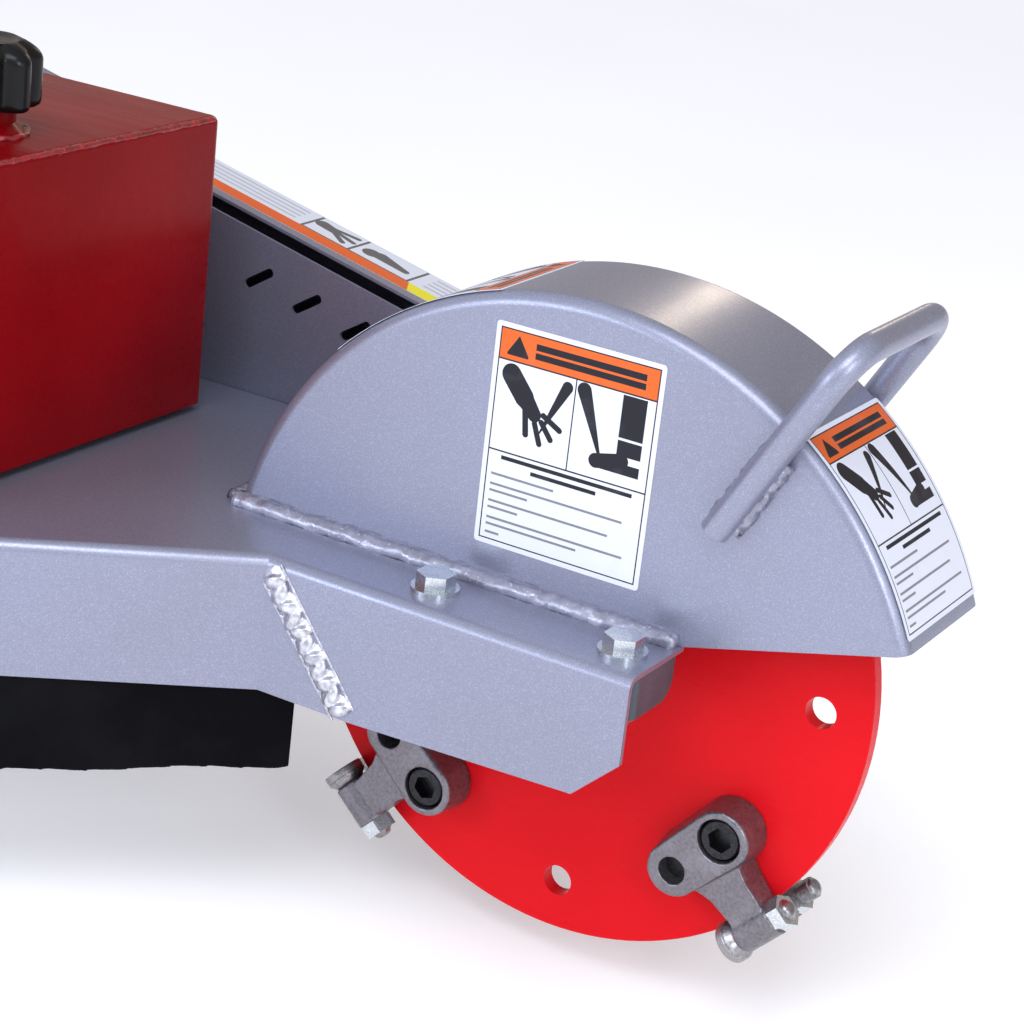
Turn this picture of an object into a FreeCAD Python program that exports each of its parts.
import FreeCAD, Part
import math
import os
from FreeCAD import Matrix, Placement, Rotation, Vector

# Cutting head of a walk-behind stump grinder: deck, cutter wheel, guards, belt drive, fuel tank.
# The parts are drawn about the cutter wheel's centre: +X forward, -Y near side, +Z up, millimetres.
# ORIGIN is where the row frame's origin lies in that layout: the middle of the frame bolts.
X = Vector(1, 0, 0)
Y = Vector(0, 1, 0)
Z = Vector(0, 0, 1)

# --- driving dimensions ---------------------------------------------------------------------
WHEEL_R = 177.8            # 14 inch cutter wheel
WHEEL_T = 9.5
SHAFT_R = 12.5
FIT = 0.02                 # radial play of a bore that its shaft is fixed in
RUN = 0.33                 # radial play between turning and standing parts

DECK_TOP = 33.06
DECK_T = 3.0
DECK_FOOT = -47.0          # lower edge of the deck's flanges
DECK_REAR = -780.0
DECK_FLARE = -325.0        # where the near edge stops widening
ARM_FRONT = 78.4
ARM_CORNER_X = -149.4      # where the near arm's fold meets the flared fold
NEAR_ARM_Y = -96.8
NEAR_REAR_Y = -228.5
FAR_Y = 129.5
BEND_R = 7.0
FOLD_FOOT = 24.0           # the deck's top sheet and fold end here, and the flanges go on down

GUARD_R = 217.6
GUARD_CZ = -13.9           # height of the guard arc's centre
GUARD_NEAR_Y = -40.0
GUARD_FAR_Y = 61.0
GUARD_T = 3.0
GUARD_NOSE_DEG = 21.8      # front end of the rim band, above horizontal
SLOT_REAR = -208.0         # rear end of the wheel slot in the deck

HANDLE_R = 8.0
HANDLE_FOOT = (91.0, 105.0)
HANDLE_TOP = (151.5, 215.0)
HANDLE_BEND = 22.0

BOLT_X = 58.2              # bearing bolts, either side of the shaft
HOUSING_FOOT = 24.0        # height of the bearing housings' feet
NEAR_BEARING_Y = -69.0
FAR_BEARING_Y = 90.0
BEARING = {"bore": 12.5, "inner": 16.0, "outer": 19.9, "od": 23.5, "width": 12.0}
WASHER_T = 2.5
HALF_INCH_BOLT = {"shank": 6.3, "hole": 6.75, "af": 19.05, "head": 8.0, "nut": 11.0}

STATIONS = 4
STATION_DEG = -42.8
POCKET_PCR = 134.0         # radius of the pocket screws' circle
POCKET_HALF_DEG = 7.9
SPARE_PCR = 148.0
SPARE_R = 9.0
SPARE_DEG = 2.2
POCKET_T = 22.0
PLATE_FOOT_R = 19.5        # pocket's plate round its screw, at the wheel's face
PLATE_TOP_R = 17.0         # and at its top
PLATE_TAPER = 1.5          # how much narrower the plate is round the plain hole
TOOTH_RADIUS = 184.0       # distance of the teeth's axis from the wheel's axis
TOOTH_OUT = 12.0           # teeth's axis above the wheel's face
POCKET_MID = POCKET_PCR * math.cos(math.radians(POCKET_HALF_DEG))
SCREW_X = POCKET_PCR * math.sin(math.radians(POCKET_HALF_DEG))
TOOTH_Y = TOOTH_RADIUS - POCKET_MID
SEAT_Z = 8.0               # seat of the pocket screw's head
SCREW_SHY = 10.0           # how far the screw's end stops below the top of the opposite pocket
BOSS = (-17.0, 9.0)        # ends of the boss that holds the tooth
BOSS_R = 10.0
TOOTH_NUT = {"af": 17.0, "nut": 8.0}

HUB_BOLT_PCR = 33.0
HUB_BOLT = {"shank": 4.95, "af": 16.0, "head": 6.4, "nut": 8.0}
KEY_W = 8.0
KEY_Z = (8.5, 15.8)
HUB_KEY_Y = (7.0, 35.0)
PULLEY_KEY_Y = (145.0, 175.0)

PULLEY_Y = 160.0
DRIVEN_PITCH = 45.0
DRIVE_PITCH = 38.0
GROOVE_HALF_GAP = 7.95
CRANK = Vector(-640.0, 0, 139.06)
CRANK_BORE = 9.525         # 3/4 inch engine shaft
BELT_TOP_HALF = 6.35
BELT_DEPTH = 8.0
BELT_OVER_PITCH = 2.5
BELT_SLOPE = math.tan(math.radians(19.0))

BACK_PLATE_R = 64.2
BACK_PLATE_T = 2.0
COVER_R = 70.0
COVER_Y = (139.0, 190.0)
COVER_T = 2.0
STANDOFF_OFFSET = 57.5
SLOT_PITCH = 39.0          # vent slots of the back plate
SLOT_FIRST = 147.8
SLOT_COUNT = 6

TANK_X = (-515.0, -324.5)
TANK_Y = (-180.0, 74.0)
TANK_Z = (38.06, 221.4)
TANK_T = 2.0
NECK = Vector(-380.0, -80.0, 0)
NECK_R = 20.0
CAP_Z = (237.0, 275.0)
CAP_R = 32.0
VALVE = Vector(-515.0, -120.0, 62.0)

ENGINE_BOLTS = {"x": 162.0, "y": 75.6, "r": 4.5, "slot": 36.0, "cx": -640.0, "cy": 35.0}
FRAME_BOLTS = {"x": 200.0, "y": 300.0, "r": 6.75, "cx": -640.0, "cy": -50.0}
TANK_BOLTS = [(x, y) for x in (-475.0, -365.0) for y in (-150.0, 45.0)]
PLATE_BOLTS_X = (-700.0, -480.0, -260.0, -80.0)
PLATE_BOLTS_Z = -12.0
PLATE_BOLT = {"shank": 3.95, "af": 13.0, "head": 5.3, "nut": 6.8}
ORIGIN = Vector(FRAME_BOLTS["cx"], FRAME_BOLTS["cy"], DECK_TOP - DECK_T)

FLARE_DIR = Vector(DECK_FLARE - ARM_CORNER_X, NEAR_REAR_Y - NEAR_ARM_Y, 0).normalize()
FLARE_IN = Vector(FLARE_DIR.y, -FLARE_DIR.x, 0)
FLAP_T = 6.0
FLAP_GAP = DECK_T + 0.2    # from the flange's outer face to the flap
FLAP_S = (-22.0, 215.0)    # ends of the flap along the flared fold
STRIP_T = 3.0
STUDS_S = (20.0, 70.0, 120.0, 170.0)
STUD_Z = 5.0


# --- small helpers --------------------------------------------------------------------------
def prism(points, along):
    """Solid from a closed outline of points, extruded along a vector."""
    return Part.Face(Part.makePolygon(list(points) + [points[0]])).extrude(along)


def prism_xy(outline, z0, z1):
    return prism([Vector(x, y, z0) for x, y in outline], Z * (z1 - z0))


def prism_xz(outline, y0, y1):
    return prism([Vector(x, y0, z) for x, z in outline], Y * (y1 - y0))


def box(x, y, z):
    return Part.makeBox(x[1] - x[0], y[1] - y[0], z[1] - z[0], Vector(x[0], y[0], z[0]))


def rod_y(radius, y0, y1, x=0.0, z=0.0):
    return Part.makeCylinder(radius, y1 - y0, Vector(x, y0, z), Y)


def rod_z(radius, z0, z1, x=0.0, y=0.0):
    return Part.makeCylinder(radius, z1 - z0, Vector(x, y, z0), Z)


def bevelled(rod, size):
    """A rod or disc with its circular edges bevelled."""
    return rod.makeChamfer(size, [e for e in rod.Edges if e.Curve.TypeId == "Part::GeomCircle"])


def ring_y(outer, inner, y0, y1):
    return rod_y(outer, y0, y1).cut(rod_y(inner, y0, y1))


def hex_prism(across_flats, height):
    """Hexagonal prism on the XY plane, with its corners knocked off by a cone."""
    corner = across_flats / math.sqrt(3)
    turns = [math.radians(30 + 60 * i) for i in range(6)]
    body = prism_xy([(corner * math.cos(a), corner * math.sin(a)) for a in turns], 0, height)
    chamfer = Part.makeCone(corner + height, across_flats * 0.485, height + corner - across_flats * 0.485)
    return body.common(chamfer)


def hex_bolt(spec, length):
    """Hex bolt with its head up on the XY plane and its shank pointing down."""
    return hex_prism(spec["af"], spec["head"]).fuse(rod_z(spec["shank"], -length, 0.5)).removeSplitter()


def hex_nut(spec, bore):
    """Hex nut on the XY plane."""
    return hex_prism(spec["af"], spec["nut"]).cut(rod_z(bore, -1, spec["nut"] + 1))


def placed(shape, at, axis=Z):
    """Copy of a shape built on +Z, turned so that its +Z lies along axis, and moved to a point."""
    copy = shape.copy()
    copy.Placement = Placement(at, Rotation(Z, axis))
    return copy


def export(name, solids):
    """Write one node, moved so that the row's origin is at the frame bolts."""
    shape = Part.makeCompound(solids) if isinstance(solids, list) else solids
    shape = shape.copy()
    shape.translate(-ORIGIN)
    shape.exportStep("parts/" + name + ".step")


# --- deck -----------------------------------------------------------------------------------
def deck_outline(inset):
    """Outline of the deck with its front edges left long, to be trimmed later."""
    lean = math.tan(math.atan2(-FLARE_DIR.y, -FLARE_DIR.x) / 2)
    return [(ARM_FRONT + 10 - inset, NEAR_ARM_Y + inset),
            (ARM_CORNER_X - inset * lean, NEAR_ARM_Y + inset),
            (DECK_FLARE - inset * lean, NEAR_REAR_Y + inset),
            (DECK_REAR + inset, NEAR_REAR_Y + inset),
            (DECK_REAR + inset, FAR_Y - inset),
            (ARM_FRONT + 10 - inset, FAR_Y - inset)]


def rounded_block(inset, z0, z1, radius):
    block = prism_xy(deck_outline(inset), z0, z1)
    rim = [e for e in block.Edges if all(abs(v.Z - z1) < 1e-6 for v in e.Vertexes)]
    return block.makeFillet(radius, rim)


def slotted_hole(x, y, radius, length, z0, z1):
    reach = length / 2 - radius
    slot = box((x - reach, x + reach), (y - radius, y + radius), (z0, z1))
    for end in (x - reach, x + reach):
        slot = slot.fuse(rod_z(radius, z0, z1, end, y))
    return slot


def rectangle(spec):
    return [(spec["cx"] + i * spec["x"] / 2, spec["cy"] + j * spec["y"] / 2)
            for i in (-1, 1) for j in (-1, 1)]


def make_deck():
    under = DECK_TOP - DECK_T
    deck = rounded_block(0, DECK_FOOT, DECK_TOP, BEND_R)
    deck = deck.cut(rounded_block(DECK_T, DECK_FOOT - 20, under, BEND_R - DECK_T))
    nose = box((ARM_FRONT, ARM_FRONT + 30), (-300, 300), (DECK_FOOT - 10, DECK_TOP + 10))
    slot = box((SLOT_REAR, ARM_FRONT + 30), (GUARD_NEAR_Y + GUARD_T, GUARD_FAR_Y - GUARD_T),
               (DECK_FOOT - 10, DECK_TOP + 10))
    arm_ends = prism_xz([(-90, DECK_FOOT), (52.7, -41), (ARM_FRONT, -16), (ARM_FRONT + 30, -16),
                         (ARM_FRONT + 30, DECK_FOOT - 20), (-90, DECK_FOOT - 20)], -300, 300)
    deck = deck.cut([nose, slot, arm_ends])
    drills = [rod_z(HALF_INCH_BOLT["hole"], 0, 60, i * BOLT_X, y)
              for i in (-1, 1) for y in (NEAR_BEARING_Y, FAR_BEARING_Y)]
    drills += [rod_z(FRAME_BOLTS["r"], 0, 60, x, y) for x, y in rectangle(FRAME_BOLTS)]
    drills += [slotted_hole(x, y, ENGINE_BOLTS["r"], ENGINE_BOLTS["slot"], 0, 60)
               for x, y in rectangle(ENGINE_BOLTS)]
    drills += [rod_z(4.3, 0, 60, x, y) for x, y in TANK_BOLTS]
    drills += [rod_y(4.3, FAR_Y - 20, FAR_Y + 5, x, PLATE_BOLTS_Z) for x in PLATE_BOLTS_X]
    drills.append(rod_y(SHAFT_R + 9.5, FAR_Y - 20, FAR_Y + 5))
    deck = deck.cut(drills)
    sheet = deck.common(box((-900, 200), (-400, 400), (FOLD_FOOT, DECK_TOP + 10)))
    return sheet, make_flanges(deck)


def make_flanges(deck):
    """The deck's flanges below the fold, mitred at each corner."""
    outer = deck_outline(0)
    inner = deck_outline(DECK_T)
    flanges = []
    for i in range(len(outer) - 1):
        strip = prism_xy([outer[i], outer[i + 1], inner[i + 1], inner[i]], DECK_FOOT - 1, FOLD_FOOT)
        flanges.append(deck.common(strip).Solids[0])
    return flanges


def make_flange_weld():
    """Raised bead where the near arm's flange meets the flared flange."""
    top = Vector(-142.5, NEAR_ARM_Y, 23)
    foot = Vector(-91, NEAR_ARM_Y, -42)
    run = foot - top
    half = Vector(run.z, 0, -run.x).normalize() * 6.0
    flat = prism([top - half, top + half, foot + half, foot - half], Y * -3.0)
    long_edges = [e for e in flat.Edges if e.Length > 80 and e.CenterOfMass.y < NEAR_ARM_Y - 2]
    return flat.makeChamfer(2.2, long_edges)


# --- wheel guard ----------------------------------------------------------------------------
def guard_point(degrees, radius=GUARD_R):
    a = math.radians(degrees)
    return (radius * math.cos(a), GUARD_CZ + radius * math.sin(a))


def guard_rear_deg(radius):
    return 180 - math.degrees(math.asin((DECK_TOP - GUARD_CZ) / radius))


def guard_face(y, radius):
    """Side plate outline: the arc, the foot on the deck and the rising front edge."""
    rear = guard_rear_deg(radius)
    points = [Vector(p[0], y, p[1]) for p in
              (guard_point(GUARD_NOSE_DEG, radius), guard_point(95, radius), guard_point(rear, radius))]
    foot = Vector(ARM_FRONT, y, DECK_TOP)
    step = Vector(ARM_FRONT, y, DECK_TOP + 3)
    arc = Part.Arc(*points).toShape()
    lines = [Part.makeLine(points[2], foot), Part.makeLine(foot, step), Part.makeLine(step, points[0])]
    return Part.Face(Part.Wire([arc] + lines))


def make_guard_plate(outer_y, inward):
    plate = guard_face(outer_y, GUARD_R).extrude(Y * (inward * GUARD_T))
    rim = [e for e in plate.Edges
           if e.Length > 300 and abs(e.CenterOfMass.y - outer_y) < 0.01
            and e.Curve.TypeId == "Part::GeomCircle"]
    return plate.makeFillet(GUARD_T - 0.4, rim)


def make_guard_band():
    y0 = GUARD_NEAR_Y + GUARD_T
    y1 = GUARD_FAR_Y - GUARD_T
    outer = guard_face(y0, GUARD_R).extrude(Y * (y1 - y0))
    inner = rod_y(GUARD_R - GUARD_T, y0 - 1, y1 + 1, 0, GUARD_CZ)
    below = prism_xz([(-250, DECK_TOP), (-250, -50), (260, -50), (260, 0), guard_point(GUARD_NOSE_DEG),
                      guard_point(GUARD_NOSE_DEG, GUARD_R - GUARD_T), (100, DECK_TOP)], y0 - 1, y1 + 1)
    return outer.cut([inner, below])


def make_guard_weld():
    """Fillet beads along both side plates and behind the band, on the deck."""
    leg = 7.0
    beads = []
    for face_y, out in ((GUARD_NEAR_Y, -1), (GUARD_FAR_Y, 1)):
        outline = [Vector(-214, face_y, DECK_TOP), Vector(-214, face_y + out * leg, DECK_TOP),
                   Vector(-214, face_y + out * leg * 0.55, DECK_TOP + leg * 0.55),
                   Vector(-214, face_y, DECK_TOP + leg)]
        beads.append(prism(outline, X * (ARM_FRONT + 213)))
    return beads


def make_handle():
    """Bent rod: two legs on the outside of the side plates, joined by a crossbar."""
    near = GUARD_NEAR_Y - HANDLE_R
    far = GUARD_FAR_Y + HANDLE_R
    foot = Vector(HANDLE_FOOT[0], 0, HANDLE_FOOT[1])
    top = Vector(HANDLE_TOP[0], 0, HANDLE_TOP[1])
    rise = (top - foot).normalize()
    bend_mid = HANDLE_BEND * (1 - math.sqrt(0.5))
    edges = []
    start = foot + Y * near
    for y, inward in ((near, 1), (far, -1)):
        low = top - rise * HANDLE_BEND + Y * y
        mid = top - rise * bend_mid + Y * (y + inward * bend_mid)
        high = top + Y * (y + inward * HANDLE_BEND)
        edges.append((low, mid, high))
    (a_low, a_mid, a_high), (b_low, b_mid, b_high) = edges
    path = Part.Wire([Part.makeLine(start, a_low), Part.Arc(a_low, a_mid, a_high).toShape(),
                      Part.makeLine(a_high, b_high), Part.Arc(b_high, b_mid, b_low).toShape(),
                      Part.makeLine(b_low, foot + Y * far)])
    section = Part.Wire(Part.makeCircle(HANDLE_R, start, rise))
    return path.makePipeShell([section], True, False)


# --- cutter wheel ---------------------------------------------------------------------------
def polar(radius, degrees, y=0.0):
    a = math.radians(degrees)
    return Vector(radius * math.cos(a), y, radius * math.sin(a))


def make_disc():
    half = WHEEL_T / 2
    disc = bevelled(rod_y(WHEEL_R, -half, half), 0.6)
    drills = [rod_y(SHAFT_R + 0.1, -half - 1, half + 1)]
    for k in range(STATIONS):
        for side in (-1, 1):
            p = polar(POCKET_PCR, STATION_DEG + 90 * k + side * POCKET_HALF_DEG)
            drills.append(rod_y(8.1, -half - 1, half + 1, p.x, p.z))
        p = polar(SPARE_PCR, SPARE_DEG + 90 * k)
        drills.append(rod_y(SPARE_R, -half - 1, half + 1, p.x, p.z))
        p = polar(HUB_BOLT_PCR, 45 + 90 * k)
        drills.append(rod_y(5.25, -half - 1, half + 1, p.x, p.z))
    return disc.cut(drills)


def key_box(y0, y1):
    return box((-KEY_W / 2, KEY_W / 2), (y0, y1), KEY_Z)


def make_hub():
    half = WHEEL_T / 2
    hub = rod_y(44, half, half + 10).fuse(rod_y(22, half + 10, half + 34)).removeSplitter()
    drills = [rod_y(SHAFT_R + FIT, half - 1, 60), key_box(half - 1, 60)]
    drills.append(Part.makeCylinder(3.95, 30, Vector(10, 0, 0) + Y * 30, X))
    for k in range(4):
        p = polar(HUB_BOLT_PCR, 45 + 90 * k)
        drills.append(rod_y(5.25, 0, 30, p.x, p.z))
    return hub.cut(drills)


def make_clamp_plate():
    half = WHEEL_T / 2
    plate = ring_y(44, SHAFT_R + FIT, -half - 6, -half)
    holes = [polar(HUB_BOLT_PCR, 45 + 90 * k) for k in range(4)]
    return plate.cut([rod_y(5.25, -20, 0, p.x, p.z) for p in holes])


def make_hub_bolts():
    half = WHEEL_T / 2
    bolts = []
    nuts = []
    for k in range(4):
        p = polar(HUB_BOLT_PCR, 45 + 90 * k)
        bolts.append(placed(hex_bolt(HUB_BOLT, 36), p - Y * (half + 6), -Y))
        nuts.append(placed(hex_nut(HUB_BOLT, HUB_BOLT["shank"] + FIT), p + Y * (half + 10), Y))
    return bolts, nuts


def make_shaft():
    shaft = bevelled(rod_y(SHAFT_R, NEAR_BEARING_Y - 15, PULLEY_Y + 22), 1.0)
    return shaft.cut([key_box(*HUB_KEY_Y), key_box(*PULLEY_KEY_Y)])


# --- pockets and teeth ----------------------------------------------------------------------
# A pocket is drawn with +Z away from the wheel's face, +Y away from the wheel's axis and its
# capped screw at -X. The far pocket is the same casting turned half round about its +Y.
def pocket_placement(station, side):
    """Placement of a station's pocket on the near (-1) or far (+1) face."""
    a = math.radians(STATION_DEG + 90 * station)
    out = Vector(math.cos(a), 0, math.sin(a))
    across = Vector(-math.sin(a), 0, math.cos(a)) * side
    up = Y * side
    at = out * POCKET_MID + up * (WHEEL_T / 2)
    return Placement(Matrix(across.x, out.x, up.x, at.x, across.y, out.y, up.y, at.y,
                            across.z, out.z, up.z, at.z, 0, 0, 0, 1))


def make_pocket():
    """Cast pocket: a drafted oval plate over both holes, and an arm that narrows to the tooth's boss."""
    plate = Part.makeCone(PLATE_FOOT_R, PLATE_TOP_R, POCKET_T, Vector(-SCREW_X, 0, 0))
    plate = plate.fuse(Part.makeCone(PLATE_FOOT_R - PLATE_TAPER, PLATE_TOP_R - PLATE_TAPER, POCKET_T,
                                     Vector(SCREW_X, 0, 0)))
    web = Part.makeLoft([Part.makePolygon([Vector(x, w, z) for x, w in
                                           ((-SCREW_X, -wide), (SCREW_X, PLATE_TAPER - wide),
                                            (SCREW_X, wide - PLATE_TAPER), (-SCREW_X, wide),
                                            (-SCREW_X, -wide))])
                         for wide, z in ((PLATE_FOOT_R, 0), (PLATE_TOP_R, POCKET_T))], True)
    plate = plate.fuse(web).removeSplitter()
    plate = plate.makeFillet(2.5, [e for e in plate.Edges if all(v.Z > POCKET_T - 1e-6 for v in e.Vertexes)])
    boss_mid = (BOSS[0] + BOSS[1]) / 2
    # Sections of the arm: middle, half width, distance out, and the heights of its foot and top.
    sections = ((0, 22.0, 10, 0, POCKET_T - 5),
                (boss_mid * 0.6, 15.0, 26, 0, POCKET_T - 4),
                (boss_mid, 12.7, TOOTH_Y - 3, TOOTH_OUT - 8, TOOTH_OUT + 7))
    arm = Part.makeLoft(
        [Part.makePolygon([Vector(middle + i * w, y, z) for i, z in
                           ((-1, z0), (1, z0), (0.85, z1), (-0.85, z1), (-1, z0))])
         for middle, w, y, z0, z1 in sections], True, True)
    boss = Part.makeCylinder(BOSS_R, BOSS[1] - BOSS[0], Vector(BOSS[0], TOOTH_Y, TOOTH_OUT), X)
    body = plate.fuse([arm, boss]).removeSplitter()
    drills = [rod_z(8.1, -1, POCKET_T + 1, -SCREW_X), rod_z(12.7, SEAT_Z, POCKET_T + 1, -SCREW_X),
              rod_z(7.9, -1, POCKET_T + 1, SCREW_X),
              Part.makeCylinder(6.5, 60, Vector(-30, TOOTH_Y, TOOTH_OUT), X)]
    return body.cut(drills)


def make_pocket_screw():
    """Socket head screw through a pocket and the wheel into the pocket on the other face."""
    head = rod_z(12.0, SEAT_Z, SEAT_Z + 12, -SCREW_X)
    head = head.makeChamfer(1.2, [e for e in head.Edges if abs(e.CenterOfMass.z - SEAT_Z - 12) < 1e-6])
    shank = rod_z(7.85, -WHEEL_T - POCKET_T + SCREW_SHY, SEAT_Z + 1, -SCREW_X)
    socket = prism_xy([(-SCREW_X + 7.3 * math.cos(math.radians(60 * i)), 7.3 * math.sin(math.radians(60 * i)))
                       for i in range(6)], SEAT_Z + 5, SEAT_Z + 20)
    return head.fuse(shank).removeSplitter().cut(socket)


def make_tooth(side):
    """Cup tooth with its shank through the boss; side +1 puts the cup at +X, -1 at -X."""
    seat = BOSS[1] if side > 0 else -BOSS[0]
    tail = -BOSS[0] if side > 0 else BOSS[1]
    profile = [(-tail - TOOTH_NUT["nut"] - 4, 0), (-tail - TOOTH_NUT["nut"] - 4, 6.3), (seat, 6.3),
               (seat, 8.5), (seat + 4, 12.0), (seat + 10, 12.0), (seat + 6.5, 0)]
    points = [Vector(side * x, r, 0) for x, r in profile]
    tooth = Part.Face(Part.makePolygon(points + [points[0]])).revolve(Vector(0, 0, 0), X, 360)
    tooth.translate(Vector(0, TOOTH_Y, TOOTH_OUT))
    return tooth


def make_tooth_nut(side):
    tail = BOSS[0] if side > 0 else BOSS[1]
    nut = hex_nut(TOOTH_NUT, 6.3 + FIT)
    return placed(nut, Vector(tail, TOOTH_Y, TOOTH_OUT), X * -side)


def stations_and_sides():
    return [(k, side) for k in range(STATIONS) for side in (-1, 1)]


def on_wheel(shape, station, side):
    copy = shape.copy()
    copy.Placement = pocket_placement(station, side).multiply(shape.Placement)
    return copy


def cup_side(side):
    """The cups lead in the cutting direction on both faces of the wheel."""
    return -side


# --- bearings -------------------------------------------------------------------------------
def make_housing(y, inboard):
    """Pillow block under an arm; inboard is the side, +1 or -1, that faces the wheel."""
    under = DECK_TOP - DECK_T
    foot = under - HOUSING_FOOT
    base = box((-78, 78), sorted((y - inboard * 20, y + inboard * 24)), (foot, under))
    base = base.makeFillet(12, [e for e in base.Edges if e.BoundBox.ZMax < foot + 1e-6 and
                                (e.BoundBox.YMin - y) * inboard > 0 and (e.BoundBox.YMax - y) * inboard > 0])
    base = base.makeFillet(5, [e for e in base.Edges if abs(e.Length - HOUSING_FOOT) < 1e-6])
    body = rod_y(33, y - 17, y + 17)
    neck = box((-30, 30), (y - 17, y + 17), (0, under - 2))
    below = box((-80, 80), (y - 30, y + 30), (-40, under))
    block = base.fuse([body, neck]).common(below).removeSplitter()
    seat = y - inboard * BEARING["width"] / 2
    mouth = y + inboard * 25
    bore = rod_y(BEARING["od"] + FIT, min(seat, mouth), max(seat, mouth))
    through = rod_y(20.0, y - 30, y + 30)
    holes = [rod_z(HALF_INCH_BOLT["hole"], foot - 6, under + 1, i * BOLT_X, y) for i in (-1, 1)]
    return block.cut([bore, through] + holes)


def ball_groove(y):
    mid = (BEARING["inner"] + BEARING["outer"]) / 2
    return Part.makeTorus(mid, 3.9 + RUN, Vector(0, y, 0), Y)


def make_bearing(y):
    """Outer ring, inner ring, balls and seals of one deep-groove bearing."""
    half = BEARING["width"] / 2
    mid = (BEARING["inner"] + BEARING["outer"]) / 2
    outer = ring_y(BEARING["od"], BEARING["outer"], y - half, y + half).cut(ball_groove(y))
    inner = ring_y(BEARING["inner"], BEARING["bore"] + FIT, y - half, y + half).cut(ball_groove(y))
    balls = [Part.makeSphere(3.9, polar(mid, 40 * i, y)) for i in range(9)]
    seals = [ring_y(BEARING["outer"], BEARING["inner"] + RUN, s - 0.6, s + 0.6)
             for s in (y - half + 0.9, y + half - 0.9)]
    return outer, inner, balls, seals


def make_snap_ring(y, inboard):
    half = BEARING["width"] / 2
    ends = sorted((y + inboard * (half + 0.1), y + inboard * (half + 1.85)))
    ring = ring_y(BEARING["od"] - FIT, 20.6, *ends)
    return ring.cut(box((-5, 5), (y - 30, y + 30), (10, 30)))


# --- belt drive -----------------------------------------------------------------------------
def groove_cut(pitch, y, clear):
    """Vee groove of one belt, cut to leave the belt clear of the pulley."""
    top = BELT_TOP_HALF + clear
    outer = pitch + BELT_OVER_PITCH
    floor = outer - BELT_DEPTH - clear * 3
    wall = (outer + 4 - floor) * BELT_SLOPE
    low = top - (BELT_DEPTH + clear * 3) * BELT_SLOPE
    section = [Vector(floor, y - low, 0), Vector(outer + 4, y - low - wall, 0),
               Vector(outer + 4, y + low + wall, 0), Vector(floor, y + low, 0)]
    return Part.Face(Part.makePolygon(section + [section[0]])).revolve(Vector(0, 0, 0), Y, 360)


def make_pulley(pitch, bore, hub_y):
    """Two-groove pulley about the Y axis."""
    rim = pitch + BELT_OVER_PITCH + 1
    body = rod_y(rim, PULLEY_Y - 17.5, PULLEY_Y + 17.5)
    faces = [rod_y(rim - 15, PULLEY_Y + s * 17.5 - 5, PULLEY_Y + s * 17.5 + 5) for s in (-1, 1)]
    hub = rod_y(21, hub_y[0], hub_y[1])
    body = body.cut(faces).fuse(hub).removeSplitter()
    grooves = [groove_cut(pitch, PULLEY_Y + s * GROOVE_HALF_GAP, 0.4) for s in (-1, 1)]
    return body.cut(grooves + [rod_y(bore, 100, 220)])


def make_driven_pulley():
    pulley = make_pulley(DRIVEN_PITCH, SHAFT_R + FIT, (PULLEY_Y - 20, PULLEY_Y + 17.5))
    screw_hole = Part.makeCylinder(3.95, 40, Vector(0, PULLEY_Y, -8), -Z)
    return pulley.cut([key_box(130, 200), screw_hole])


def make_drive_pulley():
    pulley = make_pulley(DRIVE_PITCH, CRANK_BORE, (PULLEY_Y - 17.5, PULLEY_Y + 17.5))
    keyway = box((-2.4, 2.4), (130, 200), (CRANK_BORE - 1, CRANK_BORE + 2.2))
    screw_hole = Part.makeCylinder(3.95, 60, Vector(0, PULLEY_Y, -8), -Z)
    pulley = pulley.cut([keyway, screw_hole])
    pulley.translate(CRANK)
    return pulley


def make_set_screws():
    """Grub screws of the hub and of both pulleys."""
    hub = Part.makeCylinder(3.9, 8.5, Vector(SHAFT_R + 0.1, 30, 0), X)
    driven = Part.makeCylinder(3.9, 14, Vector(0, PULLEY_Y, -SHAFT_R - 0.1), -Z)
    drive = Part.makeCylinder(3.9, 14, Vector(0, PULLEY_Y, -CRANK_BORE - 0.1) + CRANK, -Z)
    return [hub, driven], drive


def make_belt(y):
    """Vee belt: two straight runs joined by its wraps round both pulleys."""
    length = math.hypot(CRANK.x, CRANK.z)
    lean = math.asin((DRIVEN_PITCH - DRIVE_PITCH) / length)
    half_low = BELT_TOP_HALF - BELT_DEPTH * BELT_SLOPE

    def section(radius, turn):
        r = Vector(math.sin(turn), 0, math.cos(turn))
        top = radius + BELT_OVER_PITCH
        low = top - BELT_DEPTH
        points = [r * top + Y * (y - BELT_TOP_HALF), r * top + Y * (y + BELT_TOP_HALF),
                  r * low + Y * (y + half_low), r * low + Y * (y - half_low)]
        return Part.Face(Part.makePolygon(points + [points[0]]))

    # In this local layout the drive pulley lies at distance `length` along -X.
    span = math.sqrt(length ** 2 - (DRIVEN_PITCH - DRIVE_PITCH) ** 2)
    pieces = []
    for flip in (1, -1):
        turn = -lean if flip > 0 else math.pi + lean
        run = Vector(-math.cos(lean), 0, -flip * math.sin(lean)) * span
        pieces.append(section(DRIVEN_PITCH, turn).extrude(run))
    front = section(DRIVEN_PITCH, -lean).revolve(Vector(0, 0, 0), Y, 180 + 2 * math.degrees(lean))
    rear = section(DRIVE_PITCH, math.pi + lean).revolve(Vector(0, 0, 0), Y, 180 - 2 * math.degrees(lean))
    rear.translate(Vector(-length, 0, 0))
    belt = front.fuse([rear] + pieces).removeSplitter()
    belt.rotate(Vector(0, 0, 0), Y, math.degrees(math.atan2(CRANK.z, -CRANK.x)))
    return belt


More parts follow.
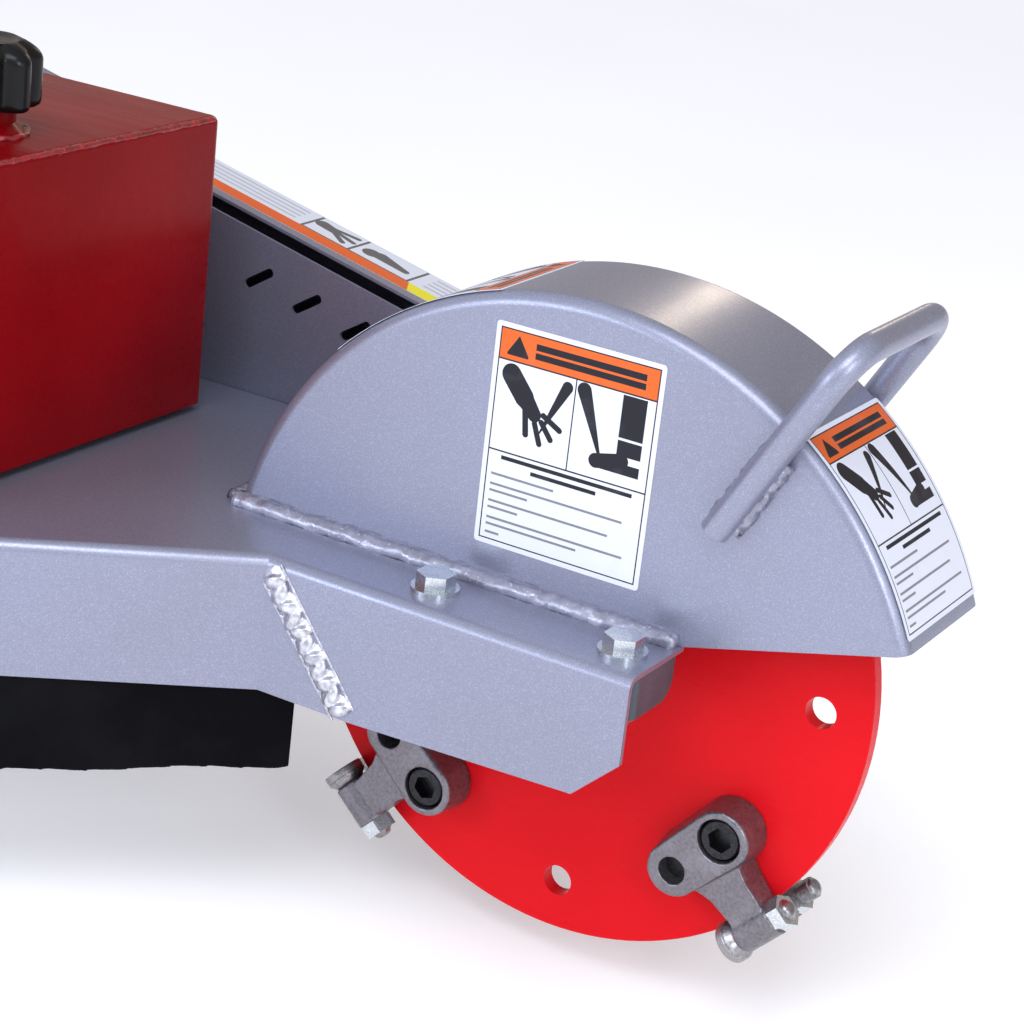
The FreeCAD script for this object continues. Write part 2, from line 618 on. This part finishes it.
# --- belt guard -----------------------------------------------------------------------------
def belt_line(distance, offset):
    """Point at a distance from the driven pulley along the belt line, offset above it."""
    along = Vector(CRANK.x, 0, CRANK.z).normalize()
    above = Vector(along.z, 0, -along.x)
    return along * distance + above * offset


def stadium(radius, y0, y1):
    """Rounded-ended block round both pulley centres."""
    total = math.hypot(CRANK.x, CRANK.z)
    corners = [belt_line(0, radius), belt_line(total, radius),
               belt_line(total, -radius), belt_line(0, -radius)]
    middle = prism([c + Y * y0 for c in corners], Y * (y1 - y0))
    ends = [rod_y(radius, y0, y1), rod_y(radius, y0, y1, CRANK.x, CRANK.z)]
    return middle.fuse(ends).removeSplitter()


STANDOFFS = [belt_line(d, s * STANDOFF_OFFSET) for d in (90.0, 560.0) for s in (-1, 1)]


def vent_slots():
    """Row of short slots below the back plate's top edge, each leaning up towards the front."""
    slots = []
    lean = math.radians(33.0)
    for i in range(SLOT_COUNT):
        centre = belt_line(SLOT_FIRST + SLOT_PITCH * i, 36.2)
        reach = Vector(math.cos(lean), 0, math.sin(lean)) * 9.5
        side = Vector(-math.sin(lean), 0, math.cos(lean)) * 3.0
        corners = [centre - reach - side, centre + reach - side, centre + reach + side, centre - reach + side]
        slot = prism([c + Y * (FAR_Y - 5) for c in corners], Y * 15)
        for end in (centre - reach, centre + reach):
            slot = slot.fuse(rod_y(3.0, FAR_Y - 5, FAR_Y + 10, end.x, end.z))
        slots.append(slot)
    return slots


def make_back_plate():
    y1 = FAR_Y + BACK_PLATE_T
    rear = CRANK.x - BACK_PLATE_R
    foot = prism_xz([(rear, -30), (0, -30), (0, 0), (CRANK.x, CRANK.z), (rear, CRANK.z)], FAR_Y, y1)
    plate = stadium(BACK_PLATE_R, FAR_Y, y1).fuse(foot).removeSplitter()
    holes = vent_slots()
    holes.append(rod_y(SHAFT_R + 9.5, FAR_Y - 5, FAR_Y + 10))
    holes.append(rod_y(30.0, FAR_Y - 5, FAR_Y + 10, CRANK.x, CRANK.z))
    holes += [rod_y(4.3, FAR_Y - 5, FAR_Y + 10, x, PLATE_BOLTS_Z) for x in PLATE_BOLTS_X]
    holes += [rod_y(3.2, FAR_Y - 5, FAR_Y + 10, p.x, p.z) for p in STANDOFFS]
    return plate.cut(holes)


def make_cover():
    shell = stadium(COVER_R, *COVER_Y)
    rim = [e for e in shell.Edges if all(abs(v.Y - COVER_Y[1]) < 1e-6 for v in e.Vertexes)]
    shell = shell.makeFillet(5.0, rim)
    hollow = stadium(COVER_R - COVER_T, COVER_Y[0] - 5, COVER_Y[1] - COVER_T)
    holes = [rod_y(3.2, 150, 200, p.x, p.z) for p in STANDOFFS]
    return shell.cut([hollow] + holes)


def make_standoffs():
    y0 = FAR_Y + BACK_PLATE_T
    y1 = COVER_Y[1] - COVER_T
    return [rod_y(6.0, y0, y1, p.x, p.z).cut(rod_y(3.0 + FIT, y1 - 20, y1, p.x, p.z)) for p in STANDOFFS]


def make_cover_screws():
    spec = {"shank": 3.0, "af": 10.0, "head": 4.0}
    return [placed(hex_bolt(spec, 18), Vector(p.x, COVER_Y[1], p.z), Y) for p in STANDOFFS]


def make_plate_bolts():
    at = [Vector(x, 0, PLATE_BOLTS_Z) for x in PLATE_BOLTS_X]
    bolts = [placed(hex_bolt(PLATE_BOLT, 16), p + Y * (FAR_Y + BACK_PLATE_T), Y) for p in at]
    nuts = [placed(hex_nut(PLATE_BOLT, PLATE_BOLT["shank"] + FIT), p + Y * (FAR_Y - DECK_T), -Y) for p in at]
    return bolts + nuts


# --- fuel tank ------------------------------------------------------------------------------
def make_tank_shell():
    lid = TANK_Z[1] - TANK_T
    outer = box(TANK_X, TANK_Y, (TANK_Z[0], lid))
    uprights = [e for e in outer.Edges if abs(e.Length - (lid - TANK_Z[0])) < 1e-6]
    outer = outer.makeFillet(4.0, uprights)
    inner = box((TANK_X[0] + TANK_T, TANK_X[1] - TANK_T), (TANK_Y[0] + TANK_T, TANK_Y[1] - TANK_T),
                (TANK_Z[0] + TANK_T, lid + 5))
    uprights = [e for e in inner.Edges if abs(e.Length - (lid - TANK_Z[0] + 5 - TANK_T)) < 1e-6]
    inner = inner.makeFillet(2.0, uprights)
    outlet = Part.makeCylinder(6.0 + FIT, 20, VALVE - X * 10, X)
    return outer.cut([inner, outlet])


def make_tank_lid():
    lid = box(TANK_X, TANK_Y, (TANK_Z[1] - TANK_T, TANK_Z[1]))
    corners = [e for e in lid.Edges if abs(e.Length - TANK_T) < 1e-6]
    return lid.makeFillet(4.0, corners).cut(rod_z(NECK_R - 2, 200, 240, NECK.x, NECK.y))


def make_tank_feet():
    bars = []
    for x in sorted({x for x, y in TANK_BOLTS}):
        bar = box((x - 15, x + 15), (TANK_Y[0] - 8, TANK_Y[1] + 6), (DECK_TOP, TANK_Z[0]))
        bars.append(bar.cut([rod_z(4.0 + FIT, 20, 45, x, y) for bx, y in TANK_BOLTS if bx == x]))
    return bars


def make_tank_bolts():
    spec = {"shank": 4.0, "af": 13.0, "head": 5.3}
    under = DECK_TOP - DECK_T
    return [placed(hex_bolt(spec, TANK_Z[0] - under - 0.2), Vector(x, y, under), -Z) for x, y in TANK_BOLTS]


def make_neck():
    z0 = TANK_Z[1]
    neck = rod_z(NECK_R, z0, CAP_Z[0] + 18, NECK.x, NECK.y)
    flare = Part.makeCone(NECK_R + 7, NECK_R, 7, Vector(NECK.x, NECK.y, z0))
    return neck.fuse(flare).removeSplitter().cut(rod_z(NECK_R - 2, z0 - 1, 300, NECK.x, NECK.y))


def make_cap():
    """Lobed cap with a skirt round the neck."""
    cap = rod_z(CAP_R - 3, CAP_Z[0], CAP_Z[1])
    lobes = [rod_z(9.0, CAP_Z[0], CAP_Z[1] - 6, (CAP_R - 7) * math.cos(a), (CAP_R - 7) * math.sin(a))
             for a in (2 * math.pi * i / 8 for i in range(8))]
    cap = cap.fuse(lobes).removeSplitter()
    cap = cap.cut(rod_z(NECK_R + 0.5, CAP_Z[0] - 1, CAP_Z[0] + 20))
    cap = cap.fuse(rod_z(NECK_R - 3, CAP_Z[0] + 14, CAP_Z[0] + 22)).removeSplitter()
    cap.translate(Vector(NECK.x, NECK.y, 0))
    return cap


def make_valve_body():
    """Fuel tap in the tank's rear wall with a spigot for the fuel hose."""
    body = Part.makeCylinder(6.0, 12, VALVE + X * 6, -X)
    hexagon = placed(hex_prism(17.0, 8.0), VALVE, -X)
    barrel = Part.makeCylinder(8.0, 26, VALVE - X * 7, -X)
    spigot = Part.makeCylinder(3.2, 22, VALVE - X * 32, -X)
    pad = rod_z(6.5, 0, 10)
    pad.translate(VALVE - X * 20)
    body = body.fuse([hexagon, barrel, spigot, pad]).removeSplitter()
    drill = Part.makeCylinder(1.6, 80, VALVE - X * 60, X)
    return body.cut([drill, placed(rod_z(3.05, 0, 11), VALVE - X * 20 + Z * 4)])


def make_valve_lever():
    at = VALVE - X * 20
    stem = rod_z(3.0, 5, 14)
    grip = box((-4.5, 32), (-4.5, 4.5), (10.3, 14))
    grip = grip.makeFillet(3.0, [e for e in grip.Edges if abs(e.Length - 3.7) < 1e-6])
    lever = stem.fuse(grip).removeSplitter()
    lever.rotate(Vector(0, 0, 0), Z, 180)
    lever.translate(at)
    return lever


# --- side flap ------------------------------------------------------------------------------
def flap_point(s, inset, z):
    corner = Vector(ARM_CORNER_X, NEAR_ARM_Y, 0)
    return corner + FLARE_DIR * s + FLARE_IN * inset + Z * z


def make_flap():
    s0, s1 = FLAP_S
    corners = [flap_point(s0, FLAP_GAP, 20), flap_point(s1, FLAP_GAP, 20),
               flap_point(s1, FLAP_GAP, -113), flap_point(s0, FLAP_GAP, -96)]
    flap = prism(corners, FLARE_IN * FLAP_T)
    return flap.cut([Part.makeCylinder(3.3, 40, flap_point(s, -5, STUD_Z), FLARE_IN) for s in STUDS_S])


def make_flap_strip():
    s0, s1 = FLAP_S
    inset = FLAP_GAP + FLAP_T
    corners = [flap_point(s0 + 20, inset, -8), flap_point(s1 - 5, inset, -8),
               flap_point(s1 - 5, inset, 18), flap_point(s0 + 20, inset, 18)]
    strip = prism(corners, FLARE_IN * STRIP_T)
    return strip.cut([Part.makeCylinder(3.3, 40, flap_point(s, -5, STUD_Z), FLARE_IN) for s in STUDS_S])


def make_flap_studs():
    nut = {"af": 10.0, "nut": 5.0}
    pieces = []
    for s in STUDS_S:
        root = flap_point(s, DECK_T, STUD_Z)
        pieces.append(Part.makeCylinder(3.0, FLAP_T + STRIP_T + 8, root, FLARE_IN))
        seat = flap_point(s, FLAP_GAP + FLAP_T + STRIP_T, STUD_Z)
        pieces.append(placed(hex_nut(nut, 3.0 + FIT), seat, FLARE_IN))
    return pieces


# --- write every node -----------------------------------------------------------------------
def write_frame():
    sheet, flanges = make_deck()
    export("deck_plate", sheet)
    export("deck_flanges", flanges)
    export("flange_weld_bead", make_flange_weld())
    export("guard_near_plate", make_guard_plate(GUARD_NEAR_Y, 1))
    export("guard_far_plate", make_guard_plate(GUARD_FAR_Y, -1))
    export("guard_rim_band", make_guard_band())
    export("guard_weld_beads", make_guard_weld())
    export("guard_handle", make_handle())
    export("side_flap", make_flap())
    export("flap_clamp_strip", make_flap_strip())
    export("flap_studs", make_flap_studs())


def write_wheel():
    bolts, nuts = make_hub_bolts()
    export("cutter_disc", make_disc())
    export("wheel_hub", make_hub())
    export("hub_clamp_plate", make_clamp_plate())
    export("hub_bolts", bolts)
    export("hub_nuts", nuts)
    export("cutter_shaft", make_shaft())
    export("hub_key", key_box(*HUB_KEY_Y))
    export("pulley_key", key_box(*PULLEY_KEY_Y))
    pocket = make_pocket()
    screw = make_pocket_screw()
    for k, side in stations_and_sides():
        name = "tooth_pocket_%d_%s" % (k + 1, "near" if side < 0 else "far")
        export(name, on_wheel(pocket, k, side))
    places = stations_and_sides()
    export("pocket_screws", [on_wheel(screw, k, side) for k, side in places])
    export("cutter_teeth", [on_wheel(make_tooth(cup_side(side)), k, side) for k, side in places])
    export("tooth_nuts", [on_wheel(make_tooth_nut(cup_side(side)), k, side) for k, side in places])


def write_bearings():
    export("near_bearing_housing", make_housing(NEAR_BEARING_Y, 1))
    export("far_bearing_housing", make_housing(FAR_BEARING_Y, -1))
    near = make_bearing(NEAR_BEARING_Y)
    far = make_bearing(FAR_BEARING_Y)
    export("bearing_outer_rings", [near[0], far[0]])
    export("bearing_inner_rings", [near[1], far[1]])
    export("bearing_balls", near[2] + far[2])
    export("bearing_seals", near[3] + far[3])
    export("bearing_snap_rings", [make_snap_ring(NEAR_BEARING_Y, 1), make_snap_ring(FAR_BEARING_Y, -1)])
    washer = rod_z(13.5, 0, WASHER_T).cut(rod_z(6.8, -1, 4))
    at = [Vector(i * BOLT_X, y, 0) for i in (-1, 1) for y in (NEAR_BEARING_Y, FAR_BEARING_Y)]
    seat = DECK_TOP - DECK_T - HOUSING_FOOT
    bolt = hex_bolt(HALF_INCH_BOLT, WASHER_T + DECK_T + HOUSING_FOOT + HALF_INCH_BOLT["nut"] + 1.5)
    export("bearing_bolts", [placed(bolt, p + Z * (DECK_TOP + WASHER_T)) for p in at])
    export("bearing_washers", [placed(washer, p + Z * DECK_TOP) for p in at])
    nut = hex_nut(HALF_INCH_BOLT, HALF_INCH_BOLT["shank"] + FIT)
    export("bearing_nuts", [placed(nut, p + Z * seat, -Z) for p in at])


def write_belt_drive():
    export("driven_pulley", make_driven_pulley())
    export("drive_pulley", make_drive_pulley())
    on_shaft, on_drive = make_set_screws()
    export("shaft_set_screws", on_shaft)
    export("drive_pulley_set_screw", on_drive)
    export("inner_belt", make_belt(PULLEY_Y - GROOVE_HALF_GAP))
    export("outer_belt", make_belt(PULLEY_Y + GROOVE_HALF_GAP))
    export("belt_guard_back_plate", make_back_plate())
    export("belt_guard_cover", make_cover())
    export("belt_guard_standoffs", make_standoffs())
    export("belt_guard_screws", make_cover_screws())
    export("back_plate_bolts", make_plate_bolts())


def write_tank():
    export("fuel_tank_shell", make_tank_shell())
    export("fuel_tank_lid", make_tank_lid())
    export("tank_feet", make_tank_feet())
    export("tank_bolts", make_tank_bolts())
    export("filler_neck", make_neck())
    export("fuel_cap", make_cap())
    export("fuel_valve_body", make_valve_body())
    export("fuel_valve_lever", make_valve_lever())


os.makedirs("parts", exist_ok=True)
write_frame()
write_wheel()
write_bearings()
write_belt_drive()
write_tank()
